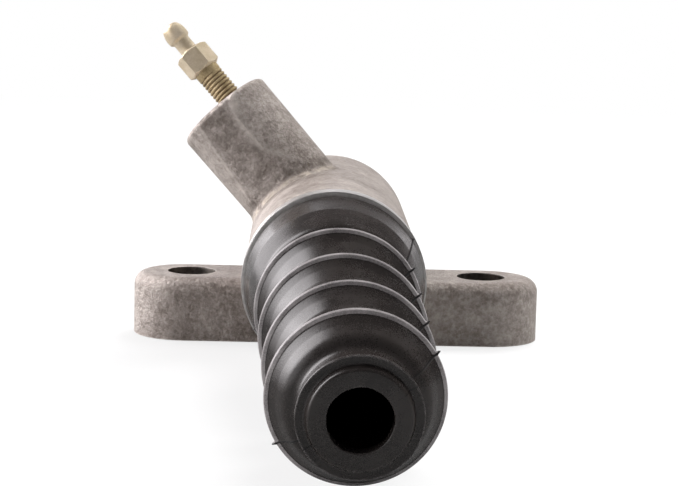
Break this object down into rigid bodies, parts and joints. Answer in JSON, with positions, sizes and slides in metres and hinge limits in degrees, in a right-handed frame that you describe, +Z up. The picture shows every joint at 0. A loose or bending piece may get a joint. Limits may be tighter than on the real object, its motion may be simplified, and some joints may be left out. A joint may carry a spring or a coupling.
{
  "type": "clutch release cylinder",
  "caption": "Hydraulic clutch release cylinder: cast body on bolt ears, slanted boss with bleeder screw, spring-loaded piston under a long rubber bellows boot.",
  "frame": {"origin": "midway between the two bolt holes, on the machined underside of the ears", "axes": "+Z up, away from the mounting face; +Y along the bore, away from the boot's mouth; +X along the ears, so that the slanted boss leans towards -X"},
  "size_m": [0.092, 0.1703, 0.0705],
  "materials": {
    "cast_aluminium": "rough sand-cast skin",
    "ring_steel": "phosphated",
    "piston_aluminium": "turned and anodised",
    "seal_rubber": "smooth",
    "seat_plastic": "moulded",
    "spring_steel": "drawn wire",
    "boot_rubber": "satin moulded",
    "bleeder_brass": "pale yellow, machined"
  },
  "bodies": {
    "cylinder": {"cylinder_body": "cast_aluminium", "retaining_ring": "ring_steel", "return_spring": "spring_steel", "dust_boot": "boot_rubber"},
    "piston": {"piston": "piston_aluminium", "piston_seal": "seal_rubber", "pressure_cup": "seal_rubber", "spring_seat": "seat_plastic"},
    "bleeder": {"bleeder_screw": "bleeder_brass"}
  },
  "joints": [
    {"name": "piston_slide", "type": "slide", "parent": "cylinder", "child": "piston", "axis": [0, 1, 0], "range_m": [0, 0.015], "stiffness_N_per_m": 1600, "springref_m": -0.006, "deforming": ["return_spring"]},
    {"name": "bleeder_turn", "type": "hinge", "parent": "cylinder", "child": "bleeder", "pos_m": [-0.01672, -0.00265, 0.04442], "axis": [-0.6621, 0.1891, 0.7251], "range_deg": [0, 180]}
  ]
}
